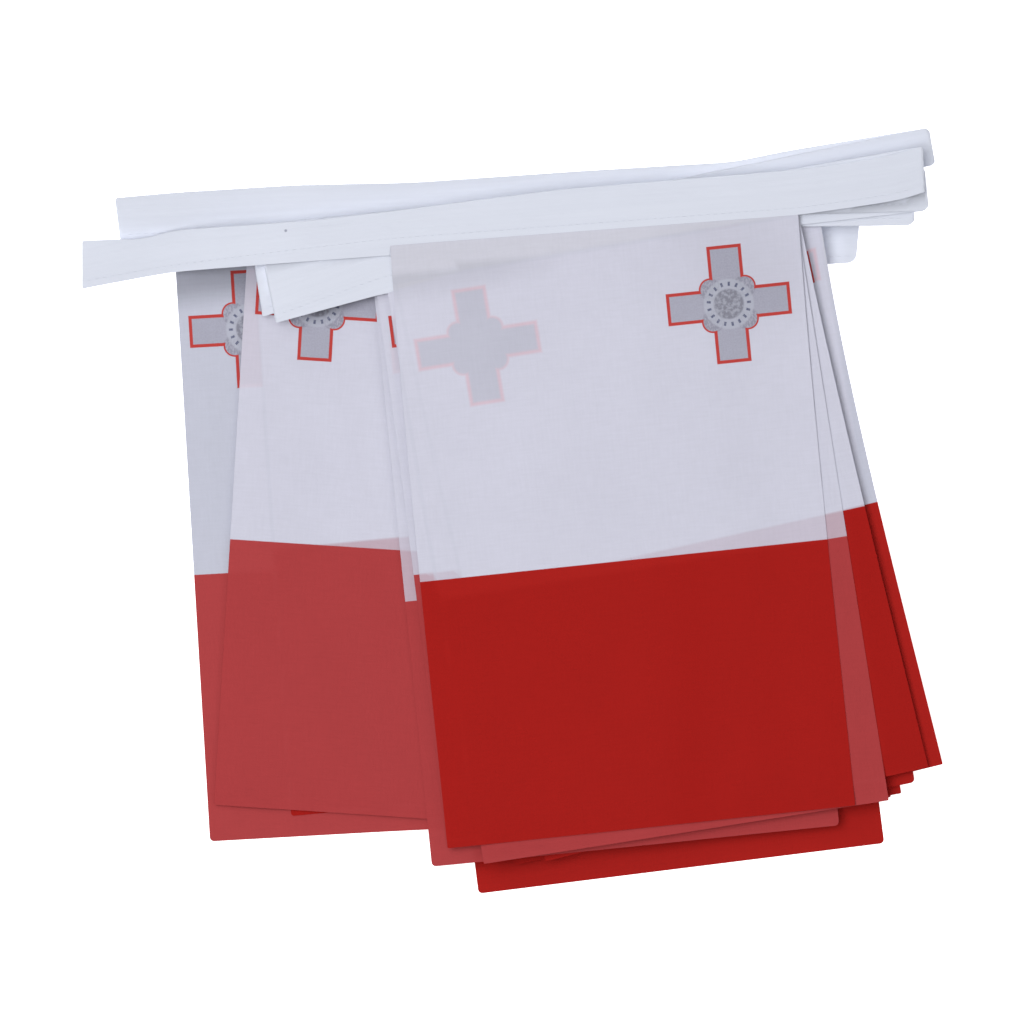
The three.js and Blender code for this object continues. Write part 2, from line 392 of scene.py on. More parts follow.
def same_heap(layer, step):
    """The layers in one direction whose flags lie in the same heap, nearest first."""
    others = LAYERS[layer + 1:] if step > 0 else LAYERS[:layer][::-1]
    return [other for other in others if abs(FLAGS[other].head_x - FLAGS[layer].head_x) < HEAP]


def in_flag(layer, x, y):
    """Print place and distance inside the flag, as three numbers for each point."""
    if layer is None:
        return np.stack([x * 0, x * 0, x * 0 - FAR], axis=-1)
    across, up = print_place(layer, x, y)
    inside = inside_distance(FLAG_OUTLINES[layer], x, y)
    return np.stack([across, up, np.clip(inside, -FAR, FAR)], axis=-1)


def behind(layer, x, y, step):
    """Looks through the layers in one direction, for red right behind, for red behind one white cloth and
    for tape; and how far the point is over anything at all."""
    red = np.full(np.shape(x), -FAR)
    veiled_red, tape, covered, covered_twice = (red.copy() for _ in range(4))
    other = layer + step
    while other in LAYERS:
        flag = inside_distance(FLAG_OUTLINES[other], x, y)
        ribbon = inside_distance(TAPE_OUTLINES[other], x, y)
        if other in LOOSE:
            ribbon = np.maximum(ribbon, inside_distance(loose_strip(other), x, y))
        red_part = np.minimum(flag, RED_HEIGHT - print_place(other, x, y)[1])
        red = np.maximum(red, np.minimum(red_part, -covered))
        veiled_red = np.maximum(veiled_red, np.minimum(red_part, -covered_twice))
        tape = np.maximum(tape, np.minimum(ribbon, -covered))
        cloth = np.maximum(flag, ribbon)
        covered_twice = np.maximum(covered_twice, np.minimum(covered, cloth))
        covered = np.maximum(covered, cloth)
        other += step
    return np.stack([red, veiled_red, tape], axis=-1), covered


# %% [markdown]
# Where a pass of the tape stands off the cloth below it, it throws a soft shade towards the foot of the
# flags. The solids lie closer and flatter than the real stack does, so the lamps alone make these shades
# too thin, and the rest is painted shade in the cloth's colour. A short table says which pass shades what:
# how dark the painted shade is, how far off it begins to fade, and within how many millimetres it is gone.
# The last two columns are where along the stack it sets in and where it is full.
#
# A second table holds soft painted patches: the cloth is painted a little darker round the emblem, and the
# tape is painted paler at its lowest end, as painted light, because that end would otherwise lie in the deep
# shade of the layers beside it. A pass is also painted a little paler, as painted light, where it comes out
# above the folded edge of the pass on top of it, because the real fold is thinner and throws hardly any
# shade there.

# %% Soft painted shades under the tape
EVERYWHERE = (-200, -190)
SHADES = table("piece layer above dark plateau fade start full", [
    ("flag", 9, 0, 0.42, 4.5, 17, *EVERYWHERE),
    ("flag", 7, 0, 0.3, 3, 20, *EVERYWHERE),
    ("flag", 7, 2, 0.52, 0.8, 7, -84, -66),
    ("flag", 7, 4, 0.3, 0.5, 5, -84, -66),
    ("flag", 5, 2, 0.25, 1, 8, *EVERYWHERE),
    ("flag", 3, 2, 0.2, 1, 8, *EVERYWHERE),
    ("flag", 0, 2, 0.13, 1, 13, 30, -10),
    ("flag", 0, 0, 0.02, 2, 20, *EVERYWHERE),
    ("tape", 1, 0, 0.34, 0.6, 3.6, *EVERYWHERE),
    ("tape", 2, 0, 0.12, 0.6, 3.6, *EVERYWHERE),
    ("tape", 2, 0, 0.37, 0.3, 5.2, 100, 112),
    ("tape", 4, 0, 0.15, 1, 3, *EVERYWHERE),
    ("tape", 6, 0, 0.15, 1, 3, *EVERYWHERE),
])

# Painted patches: darker round the emblem, and painted light at the tape's lowest end.
PAINTED_PATCHES = table("piece layer x y reach dark", [
    ("flag", 0, 84, 89, 40, 0.08),
    ("tape", 14, 112, 98, 14, -0.3),
])


EDGE_MARGIN = 0.5
# Painted light: how much paler a pass is painted above the folded edge of the pass on top of it.
FOLD_PAINTED_LIGHT = 0.14
FOLD_REACH = 4.5


def painted_light_at_fold(layer, x, y):
    """How much painted light makes a pass paler where it comes out above the folded edge of the pass on top of it.
    """
    places = tape_places(layer - 1)
    off = np.maximum(-inside_distance(TAPE_OUTLINES[layer - 1], x, y), 0)
    above = y > np.interp(x, places[:, 0], places[:, 1] + places[:, 3] / 2)
    return FOLD_PAINTED_LIGHT * above * (1 - smoothstep(off, 0, FOLD_REACH))


def shade_at(layer, piece, x, y):
    """How dark the painted shade is on a layer, up to 1, and below 0 where light is painted on to make it paler.
    """
    dark = np.zeros(np.shape(x))
    if piece == "tape" and layer > 0:
        dark = -painted_light_at_fold(layer, x, y)
    for row in SHADES:
        if (row.piece, row.layer) != (piece, layer):
            continue
        places = tape_places(row.above)
        off = np.maximum(-inside_distance(TAPE_OUTLINES[row.above], x, y), 0)
        below = y < np.interp(x, places[:, 0], places[:, 1]) + EDGE_MARGIN
        off = np.where(below, off, FAR)
        set_in = smoothstep(x, row.start, row.full)
        dark = np.maximum(dark, row.dark * set_in * (1 - smoothstep(off, row.plateau, row.fade)))
    for row in PAINTED_PATCHES:
        if (row.piece, row.layer) == (piece, layer):
            off = np.hypot(x - row.x, y - row.y)
            dark = dark + row.dark * (1 - smoothstep(off, 0, row.reach))
    return dark


# %% [markdown]
# Each flag is a closed sheet: an upper and a lower face on the same grid, joined all round. The rows are
# closer together at the foot, where the corners of the cloth are slightly rounded. The head goes a few
# millimetres up between the plies of the tape.

# %% Laying a flag
FLAG_STEP = 2.5
TUCK = 4.0


def corner_inset(distance, radius):
    """How far a rounded corner draws the sides in, at a distance from the end."""
    near = np.clip(radius - distance, 0, radius)
    return radius - np.sqrt(radius * radius - near * near)


def flag_grid(layer):
    """Points of a flag in rows from the head to the foot, and how far each row is below the head."""
    row = FLAGS[layer]
    corner = flag_corners(row)
    length = np.linalg.norm(corner.foot_left - corner.head_left)
    regular = np.linspace(-TUCK, length - row.corner, int(length / FLAG_STEP))
    ending = length - row.corner * np.array([0.7, 0.45, 0.22, 0.07, 0])
    below_head = np.concatenate([regular, ending])
    part = (below_head / length)[:, None]
    left = corner.head_left + part * (corner.foot_left - corner.head_left)
    right = corner.head_right + part * (corner.foot_right - corner.head_right)
    for side in (left, right):
        side[:, 0] -= bow_at(row.bow, part[:, 0])
    inset = corner_inset(length - below_head, row.corner)[:, None] / FOOT_WIDTH
    columns = np.linspace(0, 1, int(FOOT_WIDTH / FLAG_STEP) + 1)[None, :]
    place = inset + columns * (1 - 2 * inset)
    points = left[:, None] + place[..., None] * (right - left)[:, None]
    return points[..., 0], points[..., 1], np.broadcast_to(below_head[:, None], place.shape)


def grid_faces(rows, columns, start, flip):
    """Quads of a grid of points that are numbered row by row."""
    corner = start + np.arange(rows * columns).reshape(rows, columns)
    quads = np.stack([corner[:-1, :-1], corner[1:, :-1], corner[1:, 1:], corner[:-1, 1:]], axis=-1).reshape(-1, 4)
    return quads[:, ::-1] if flip else quads


def rim_faces(rows, columns):
    """Quads that join the edge of the upper grid to the edge of the lower one."""
    corner = np.arange(rows * columns).reshape(rows, columns)
    rim = np.concatenate([corner[0, :-1], corner[:-1, -1], corner[-1, :0:-1], corner[:0:-1, 0]])
    after = np.roll(rim, -1)
    lower = rows * columns
    return np.stack([rim, after, after + lower, rim + lower], axis=-1)


def new_piece(name, points, faces):
    """A mesh object from points in millimetres."""
    mesh = bpy.data.meshes.new(name)
    mesh.from_pydata((points * METRE).tolist(), [], faces.tolist())
    mesh.shade_smooth()
    mesh.set_sharp_from_angle(angle=math.radians(50))
    piece = bpy.data.objects.new(name, mesh)
    bpy.context.collection.objects.link(piece)
    return piece


def carry(piece, name, upper, lower):
    """Stores three numbers at each point, for the finish to read."""
    layer = piece.data.attributes.new(name, "FLOAT_VECTOR", "POINT")
    values = np.concatenate([upper.reshape(-1, 3), lower.reshape(-1, 3)])
    layer.data.foreach_set("vector", values.astype(np.float32).ravel())


def lay_flag(layer):
    x, y, below_head = flag_grid(layer)
    middle = flag_middle(layer, x, y, below_head)
    rows, columns = x.shape
    upper = np.stack([x, y, middle + CLOTH / 2], axis=-1).reshape(-1, 3)
    lower = np.stack([x, y, middle - CLOTH / 2], axis=-1).reshape(-1, 3)
    top = grid_faces(rows, columns, 0, flip=False)
    underside = grid_faces(rows, columns, rows * columns, flip=True)
    faces = np.vstack([top, rim_faces(rows, columns)[:, ::-1], underside])
    piece = new_piece(f"flag_cloth_{layer + 1:02d}", np.vstack([upper, lower]), faces)
    slots = np.zeros(len(faces), np.int32)
    slots[-len(underside):] = 1
    piece.data.polygons.foreach_set("material_index", slots)
    own = in_flag(layer, x, y)
    carry(piece, "own", own, own)
    down = [*same_heap(layer, 1), None, None]
    up = [*same_heap(layer, -1), None, None]
    carry(piece, "next", in_flag(down[0], x, y), in_flag(up[0], x, y))
    carry(piece, "after", in_flag(down[1], x, y), in_flag(up[1], x, y))
    beneath, covered_down = behind(layer, x, y, 1)
    above, covered_up = behind(layer, x, y, -1)
    carry(piece, "behind", beneath, above)
    # The second number seen from above is the painted shade under the tape.
    shade, nought = shade_at(layer, "flag", x, y), x * 0
    seen_from_above = np.stack([covered_down, shade, nought], axis=-1)
    seen_from_below = np.stack([covered_up, nought, nought], axis=-1)
    carry(piece, "covered", seen_from_above, seen_from_below)
    return piece


flags = [lay_flag(layer) for layer in LAYERS]
print("points in a flag:", len(flags[0].data.vertices))

# %% [markdown]
# The heading tape is one strip, folded lengthwise over the heads of the flags, so its section is a hairpin
# of two plies. In the loose upper passes the back ply reaches a little further down than the front one,
# which steps back where the flag comes out. The section is carried along every pass and round every fold as one
# mesh, which is the way the real strip runs too.

# %% Places along the tape
STATION_STEP = 3.5
EASE = 5.0
TIGHT = SimpleNamespace(hang=0, fade=1)
ACROSS_STEPS = 7
TURN_STEPS = 5


def eased(at, x, values):
    """Reads a line with corners, with each corner rounded off over a few millimetres."""
    reach = np.minimum(EASE, np.minimum(at - x[0], x[-1] - at))
    return np.mean([np.interp(at + reach * shift, x, values) for shift in np.linspace(-1, 1, 9)], axis=0)


def tape_stations(layer):
    """Open edge, turn, width and overhang of both plies, from left to right along one pass."""
    places = tape_places(layer)
    first, last = places[0, 0], places[-1, 0]
    row = FLAGS[layer]
    ends = np.array([0, 0.2, 0.5, 0.9, 1.6, 2.6])
    count = int((last - first) / STATION_STEP)
    at = np.concatenate([first + ends, np.linspace(first + 4, last - 4, count), last - ends[::-1]])
    at = np.sort(np.concatenate([at[abs(at - row.head_x) > 1], row.head_x + np.array([-0.5, 0.1])]))
    loose = LOOSE.get(layer, TIGHT)
    start = max(first, row.head_x - 80)
    overhang = np.interp(at, [start, row.head_x, row.head_x + loose.fade], [0, loose.hang, 0])
    front = np.where(at < row.head_x, overhang, 0)
    y, turn, width = (eased(at, places[:, 0], places[:, column]) for column in (1, 2, 3))
    return SimpleNamespace(x=at, y=y, turn=turn, width=width, front=front, back=overhang)


# %% [markdown]
# The section is a closed ring of points. It goes round the outside of the hairpin and back on its inside,
# with as many points on each, so that the cut ends can be closed by joining each outer point to its inner
# one.

# %% Section of the tape
def tape_section(width, front_reach, back_reach):
    """Ring of (across, rise) points: front ply, fold, back ply, and back again on the inside."""
    bend = np.linspace(math.pi / 2, -math.pi / 2, 5)[1:-1]
    part = np.linspace(0, 1, ACROSS_STEPS)
    chains = []
    for radius in (TAPE_HALF, TAPE_HALF - PLY):
        centre = width - TAPE_HALF
        front = np.stack([-front_reach + part * (centre + front_reach), np.full(ACROSS_STEPS, radius)], axis=-1)
        fold = np.stack([centre + radius * np.cos(bend), radius * np.sin(bend)], axis=-1)
        back = np.stack([centre - part * (centre + back_reach), np.full(ACROSS_STEPS, -radius)], axis=-1)
        chains.append(np.vstack([front, fold, back]))
    return np.vstack([chains[0], chains[1][::-1]])


def narrowed(section, width, inset):
    """The section with both edges drawn in, as at a rounded corner."""
    across = inset + section[:, 0] * (1 - 2 * inset / width)
    return np.stack([across, section[:, 1]], axis=-1)


def pass_rings(layer):
    """One ring of points for each station of a pass, in the direction in which the strip runs."""
    line = tape_stations(layer)
    side = 1 if front_is_up(layer) else -1
    ends = sorted(FOLDS[layer:layer + 2], key=lambda fold: fold.x)
    to_left, to_right = line.x - line.x[0], line.x[-1] - line.x
    loose_left, loose_right = ends[0] is FOLDS[0], ends[1] is FOLDS[-1]
    inset = np.maximum(
        corner_inset(to_left + (0 if loose_left else PITCH / 2), ends[0].corner),
        corner_inset(to_right + (0 if loose_right else PITCH / 2), ends[1].corner),
    )
    rings = []
    for index, x in enumerate(line.x):
        section = tape_section(line.width[index], line.front[index], line.back[index])
        section = narrowed(section, line.width[index], inset[index])
        place = np.array([x, line.y[index]]) + np.array([turned(line.turn[index], 0, a) for a in section[:, 0]])
        rise = tape_middle(layer, place[:, 0], place[:, 1]) + side * section[:, 1]
        # Painted shade under the passes above, and painted light where it is below nought, for the finish.
        shade = shade_at(layer, "tape", place[:, 0], place[:, 1])
        rings.append(np.column_stack([place, rise, section[:, 0], shade]))
    return rings if front_is_up(layer) else rings[::-1]


# %% [markdown]
# At each fold the strip turns over a half circle: what was its upper side becomes its lower side one
# pitch further down. The corners of the folds are rounded like those of the cut ends.

# %% Turning the tape back
def turn_rings(layer):
    """Rings round the fold between a pass and the next one down."""
    fold = FOLDS[layer + 1]
    outward = 1 if fold.x > 0 else -1
    side = 1 if front_is_up(layer) else -1
    plain = tape_section(fold.width, 0, 0)
    rings = []
    for angle in np.linspace(0, math.pi, TURN_STEPS + 2)[1:-1]:
        inset = corner_inset(PITCH / 2 * (1 - math.sin(angle)), fold.corner)
        section = narrowed(plain, fold.width, inset)
        place = np.array([fold.x, fold.y]) + np.array([turned(fold.turn, 0, a) for a in section[:, 0]])
        above = tape_middle(layer, place[:, 0], place[:, 1])
        below = tape_middle(layer + 1, place[:, 0], place[:, 1])
        radius = (above - below) / 2 + side * section[:, 1]
        place = place + outward * (radius * math.sin(angle))[:, None] * turned(fold.turn, 1, 0)
        rise = (above + below) / 2 + radius * math.cos(angle)
        rings.append(np.column_stack([place, rise, section[:, 0], rise * 0]))
    return rings


def tape_rings():
    rings = []
    for layer in LAYERS:
        rings += pass_rings(layer)
        if layer < len(FLAGS) - 1:
            rings += turn_rings(layer)
    return np.array(rings)


def lay_tape():
    rings = tape_rings()
    stations, around = rings.shape[:2]
    corner = np.arange(stations * around).reshape(stations, around)
    beside = np.roll(corner, -1, axis=1)
    wall = np.stack([corner[:-1], corner[1:], beside[1:], beside[:-1]], axis=-1).reshape(-1, 4)
    half = around // 2
    outer, inner = np.arange(half), np.arange(around - 1, half - 1, -1)
    cap = np.stack([outer[:-1], outer[1:], inner[1:], inner[:-1]], axis=-1)
    faces = np.vstack([wall, cap, cap[:, ::-1] + corner[-1, 0]])
    piece = new_piece("heading_tape", rings[..., :3].reshape(-1, 3), faces)
    steps = np.linalg.norm(np.diff(rings[..., :3].mean(axis=1), axis=0), axis=1)
    along = np.concatenate([[0], np.cumsum(steps)])
    across = rings[..., 3]
    place = np.stack([np.broadcast_to(along[:, None], across.shape), across, rings[..., 4]], axis=-1)
    carry(piece, "strip", place, place[:0])
    return piece, float(along[-1])


tape, tape_length = lay_tape()
print("tape, m:", round(tape_length * METRE, 2), "points:", len(tape.data.vertices))

# %% [markdown]
# A running stitch closes the tape along its open edge. Each stitch is a short grain of thread that lies
# half sunk in the cloth, on both faces of every pass. They are one mesh, because nobody handles a stitch
# by itself.

# %% Stitching the tape
SEAM = 2.6
STITCH_PITCH = 2.8
STITCH_LENGTH = 1.9
THREAD = 0.11
SUNK = 0.04
GRAIN = table("along thick", [(-0.5, 0.3), (-0.32, 1), (0.32, 1), (0.5, 0.3)])
GRAIN_SIDES = 4


def stitch_places():
    """Middle of each stitch and the turn of the tape there."""
    places = []
    for layer in LAYERS:
        line = tape_stations(layer)
        at = np.arange(line.x[0] + 3, line.x[-1] - 3, STITCH_PITCH)
        turn = np.interp(at, line.x, line.turn)
        edge = np.interp(at, line.x, line.y)
        step = np.array([turned(angle, 0, SEAM) for angle in turn])
        x, y = at + step[:, 0], edge + step[:, 1]
        for side in (-1, 1):
            z = tape_middle(layer, x, y) + side * (TAPE_HALF - SUNK)
            places.append(np.column_stack([x, y, np.maximum(z, THREAD), turn]))
    return np.vstack(places)


def sew_tape():
    places = stitch_places()
    spokes = np.arange(GRAIN_SIDES) * 2 * math.pi / GRAIN_SIDES
    grain = np.array([
        (ring.along * STITCH_LENGTH, ring.thick * THREAD * math.cos(spoke), ring.thick * THREAD * math.sin(spoke))
        for ring in GRAIN
        for spoke in spokes
    ])
    angle = np.radians(places[:, 3])[:, None]
    x = places[:, 0:1] + grain[:, 0] * np.cos(angle) - grain[:, 1] * np.sin(angle)
    y = places[:, 1:2] + grain[:, 0] * np.sin(angle) + grain[:, 1] * np.cos(angle)
    z = places[:, 2:3] + grain[:, 2]
    corner = np.arange(len(grain)).reshape(len(GRAIN), GRAIN_SIDES)
    beside = np.roll(corner, -1, axis=1)
    wall = np.stack([corner[:-1], beside[:-1], beside[1:], corner[1:]], axis=-1).reshape(-1, 4)
    one = np.vstack([wall, corner[0][::-1], corner[-1]])
    faces = (one + len(grain) * np.arange(len(places))[:, None, None]).reshape(-1, 4)
    return new_piece("tape_stitches", np.stack([x, y, z], axis=-1).reshape(-1, 3), faces)


stitches = sew_tape()
print("stitches:", len(stitches.data.vertices) // (len(GRAIN) * GRAIN_SIDES))

# %% [markdown]
# Finishes are written as arithmetic. A wire is the output of a node; adding or comparing two wires adds a
# Math node that does the same. That keeps the maths of a print readable, where a drawn node tree with a
# hundred boxes would not be. Anything that isn't plain arithmetic comes from the one method below.

# %% Shader arithmetic
class Wire:
    """The output of a node, which can be used in sums."""

    def __init__(self, finish, socket):
        self.finish, self.socket = finish, socket

    def math(self, operation, *values):
        return self.finish.node("ShaderNodeMath", {"operation": operation}, dict(enumerate(values)))

    def __add__(self, other):
        return self.math("ADD", self, other)

    def __radd__(self, other):
        return self.math("ADD", other, self)

    def __sub__(self, other):
        return self.math("SUBTRACT", self, other)

    def __rsub__(self, other):
        return self.math("SUBTRACT", other, self)

    def __mul__(self, other):
        return self.math("MULTIPLY", self, other)

    def __rmul__(self, other):
        return self.math("MULTIPLY", other, self)

    def __abs__(self):
        return self.math("ABSOLUTE", self)

    def least(self, other):
        return self.math("MINIMUM", self, other)

    def most(self, other):
        return self.math("MAXIMUM", self, other)

    def sine(self):
        return self.math("SINE", self)

    def fraction(self):
        return self.math("FRACT", self)

    def from_origin(self, other):
        """Distance of the point (self, other) from nought."""
        return self.math("SQRT", self * self + other * other)

    def mask(self, softness):
        """1 where a distance is inside, 0 where it is outside, and a smooth change between."""
        half = softness / 2
        values = {0: self, 1: -half, 2: half}
        return self.finish.node("ShaderNodeMapRange", {"interpolation_type": "SMOOTHSTEP"}, values)

    def split(self):
        parts = self.finish.node("ShaderNodeSeparateXYZ", values={0: self})
        return [Wire(self.finish, socket) for socket in parts.socket.node.outputs]


class Finish:
    """A material in the making."""

    def __init__(self, name):
        self.material = bpy.data.materials.new(name)
        self.material.use_nodes = True
        self.tree = self.material.node_tree
        self.tree.nodes.clear()

    def node(self, kind, settings=None, values=None, output=0):
        made = self.tree.nodes.new(kind)
        for name, value in (settings or {}).items():
            setattr(made, name, value)
        for name, value in (values or {}).items():
            if isinstance(value, Wire):
                self.tree.links.new(value.socket, made.inputs[name])
            else:
                made.inputs[name].default_value = value
        return Wire(self, made.outputs[output]) if made.outputs else None

    def measured(self, name):
        """The three numbers that the mesh carries under a name."""
        return self.node("ShaderNodeAttribute", {"attribute_name": name}, output="Vector").split()

    def blend(self, share, below, above, kind="MIX"):
        """Lays one colour over another by a share, as Mix does."""
        settings = {"data_type": "RGBA", "blend_type": kind}
        return self.node("ShaderNodeMix", settings, {0: share, 6: below, 7: above}, output=2)

    def grain(self, vector, scale, detail=2.0):
        """Noise from about 0 to 1."""
        values = {"Vector": vector, "Scale": scale, "Detail": detail, "Roughness": 0.6}
        return self.node("ShaderNodeTexNoise", {"normalize": True}, values)

    def point(self, x, y, z=0.0):
        return self.node("ShaderNodeCombineXYZ", values={0: x, 1: y, 2: z})

    def cloth(self, colour, height, roughness, relief):
        """Ends the material: a matt cloth with a colour and a relief."""
        bump = self.node("ShaderNodeBump", values={"Strength": 1.0, "Distance": relief * METRE, "Height": height})
        surface = self.node("ShaderNodeBsdfPrincipled", values={
            "Base Color": colour,
            "Roughness": roughness,
            "Specular IOR Level": 0.12,
            "Normal": bump,
        })
        self.node("ShaderNodeOutputMaterial", values={"Surface": surface})
        return self.material


# %% [markdown]
# Colours are named by how they look in daylight, as on a paint card from 0 to 255. The scene's light
# makes a pale surface brighter than its paint, so each colour is divided by that light.

# %% Colours of the cloth
LIGHT = 1.1


def seen(red, green, blue):
    """The paint that looks like this colour in the scene's light."""
    def linear(value):
        part = value / 255
        return part / 12.92 if part <= 0.04045 else ((part + 0.055) / 1.055) ** 2.4
    return tuple(linear(value) / LIGHT for value in (red, green, blue)) + (1.0,)


WHITE = seen(206, 206, 221)
WHITE_OVER_FLOOR = seen(195, 197, 212)
WHITE_OVER_TAPE = seen(206, 206, 218)
WHITE_OVER_RED = seen(190, 168, 181)
WHITE_OVER_VEILED_RED = seen(198, 191, 206)
FRONT_RED = seen(163, 21, 16)
FRONT_RED_THIN = seen(168, 25, 20)
BACK_RED = seen(171, 60, 62)
BACK_RED_THIN = seen(174, 64, 66)
CROSS_GREY = seen(173, 173, 189)
CROSS_RED = seen(190, 66, 62)
DISC_GREY = seen(110, 109, 122)
MARK_BLUE = seen(92, 96, 122)
RING_PALE = seen(188, 191, 205)
GHOST_GREY = seen(188, 191, 206)
GHOST_RED = seen(211, 186, 199)
TAPE_WHITE = seen(219, 223, 235)
TAPE_SHADE = seen(209, 213, 226)
THREAD_WHITE = seen(206, 210, 222)

# %% [markdown]
# The print: red below, white above, and in one upper corner a broad cross with a red edge and a round
# lobe in each angle. Its centre is a plain medal: a slightly paler ring with ticks round a mottled disc.
# All of it is a matter of distances, so its edges stay sharp at any zoom.

# %% Drawing the emblem
EMBLEM_ACROSS = 28.4
EMBLEM_UP = 187.7
BAR_LENGTH = 22.8
BAR_HALF = 5.9
POST_LENGTH = 21.6
POST_HALF = 6.35
LOBE = 4.15
CROSS_EDGE = 1.2
LOBE_EDGE = 0.6
RING = 9.2
DISC = 5.5
TICK_RING = 7.4
TICKS = 17
TICK_HALF = 0.42
TICK_LENGTH = 0.75
CRISP = 0.25


def cross_distance(across, up):
    """How far a point of the print is inside the cross, and how far inside its lobes."""
    x = abs(across - EMBLEM_ACROSS)
    y = abs(up - EMBLEM_UP)
    bar = (BAR_LENGTH - x).least(BAR_HALF - y)
    post = (POST_HALF - x).least(POST_LENGTH - y)
    lobe = LOBE - (x - POST_HALF).from_origin(y - BAR_HALF)
    return bar.most(post), lobe


def within_edge(arms, lobe):
    """How far a point is inside the red edge, which is thinner round the lobes."""
    return (arms - CROSS_EDGE).most(lobe - LOBE_EDGE)


def paint_medal(finish, colour, across, up, lobe):
    """The round centre: a paler ring with ticks, and a mottled disc."""
    x, y = across - EMBLEM_ACROSS, up - EMBLEM_UP
    radius = x.from_origin(y)
    sector = 2 * math.pi / TICKS
    turn = x.math("ARCTAN2", y, x) * (1 / sector)
    beside = abs(turn.fraction() - 0.5) * sector * radius
    tick = (TICK_HALF - beside).least(TICK_LENGTH - abs(radius - TICK_RING))
    mottle = finish.grain(finish.point(across, up, 11.0), 0.75, detail=3.0)
    pattern = finish.grain(finish.point(across * 1.6, up, 23.0), 1.1, detail=1.0)
    colour = finish.blend(lobe.mask(0.6) * (pattern - 0.48).mask(0.3) * 0.4, colour, DISC_GREY)
    colour = finish.blend((RING - radius).mask(0.9) * 0.6, colour, RING_PALE)
    colour = finish.blend(tick.mask(CRISP) * (0.4 + pattern * 0.9), colour, MARK_BLUE)
    disc = (DISC - radius).mask(0.9)
    colour = finish.blend(disc * 0.7, colour, DISC_GREY)
    return finish.blend(disc * (mottle - 0.52).mask(0.22) * 0.55, colour, RING_PALE)


def paint_emblem(finish, colour, across, up):
    arms, lobe = cross_distance(across, up)
    screen = finish.grain(finish.point(across, up), 1.6, detail=1.0)
    grey = finish.blend((screen - 0.5).mask(0.5) * 0.14, CROSS_GREY, DISC_GREY)
    grey = paint_medal(finish, grey, across, up, lobe)
    colour = finish.blend(arms.most(lobe).mask(CRISP), colour, CROSS_RED)
    return finish.blend(within_edge(arms, lobe).mask(CRISP), colour, grey)


# %% [markdown]
# What shows through the white cloth is painted next, from the farthest to the nearest: the floor, a red
# part behind one more white cloth, a red part right behind, the tape, and the soft ghosts of the crosses
# of the next two flags. The farther ghost is all but gone where the nearer flag veils it. The edges of
# those flags draw faint darker lines: partly the edge showing through, partly painted shade for the small
# ridge each edge presses up.

# %% Painting what shows through
BLUR = 1.3
EDGE_LINE = 0.7
EDGE_BLUR = 0.8
NEAR_GHOST = 0.9
FAR_GHOST = 0.3
VEILED_GHOST = 0.28
NEAR_EDGE = 0.3
FAR_EDGE = 0.2


def paint_white(finish):
    covered, _, _ = finish.measured("covered")
    red, veiled_red, tape = finish.measured("behind")
    colour = finish.blend(covered.mask(2.0), WHITE_OVER_FLOOR, WHITE)
    colour = finish.blend(veiled_red.mask(BLUR), colour, WHITE_OVER_VEILED_RED)
    colour = finish.blend(red.mask(BLUR), colour, WHITE_OVER_RED)
    return finish.blend(tape.mask(BLUR), colour, WHITE_OVER_TAPE)


def paint_ghost(finish, colour, place, share):
    across, up, inside = place
    arms, lobe = cross_distance(across, up)
    share = inside.mask(BLUR) * share
    colour = finish.blend(arms.most(lobe).mask(BLUR) * share, colour, GHOST_RED)
    return finish.blend(within_edge(arms, lobe).mask(BLUR) * share, colour, GHOST_GREY)


def paint_edge_behind(finish, colour, inside, share):
    """A faint darker line where a flag behind ends: partly its edge showing through, partly painted shade for the
    ridge it presses up.
    """
    return finish.blend((EDGE_LINE - abs(inside)).mask(EDGE_BLUR) * share, colour, WHITE_OVER_FLOOR)


def paint_red(finish, deep, thin):
    red, _, _ = finish.measured("behind")
    return finish.blend(red.mask(3.0), thin, deep)


# %% [markdown]
# The cloth itself is a fine plain weave with slightly uneven threads. The weave is a product of two sines
# in the print's own millimetres, and slubs are noise that is drawn out along the threads.

# %% The finish of the flags
THREAD_PITCH = 0.3


def weave(across, up):
    warp = (across * (math.pi / THREAD_PITCH)).sine()
    weft = (up * (math.pi / THREAD_PITCH)).sine()
    return warp * weft


def flag_finish(name, deep, thin):
    finish = Finish(name)
    across, up, edge = finish.measured("own")
    near, far = finish.measured("next"), finish.measured("after")
    white = paint_white(finish)
    white = paint_edge_behind(finish, white, near[2], NEAR_EDGE)
    white = paint_edge_behind(finish, white, far[2], FAR_EDGE)
    white = paint_ghost(finish, white, far, FAR_GHOST - near[2].mask(BLUR) * VEILED_GHOST)
    white = paint_ghost(finish, white, near, NEAR_GHOST)
    white = paint_emblem(finish, white, across, up)
    colour = finish.blend((RED_HEIGHT - up).mask(0.3), white, paint_red(finish, deep, thin))
    slub = finish.grain(finish.point(across * 0.12, up * 1.1, edge * 0), 1.0)
    slub_up = finish.grain(finish.point(across * 1.1, up * 0.12, 7.0), 1.0)
    cloud = finish.grain(finish.point(across, up, 3.0), 0.03)
    tone = 1 + (slub - 0.5) * 0.09 + (slub_up - 0.5) * 0.07 + (cloud - 0.5) * 0.08
    # Painted shade under the tape, carried by the mesh, darkens the cloth's colour.
    _, shade, _ = finish.measured("covered")
    colour = finish.blend(1.0, colour, tone * (1 - shade), kind="MULTIPLY")
    relief = weave(across, up) * 0.15 + slub * 1.2 + slub_up
    return finish.cloth(colour, relief, roughness=0.78, relief=0.04)


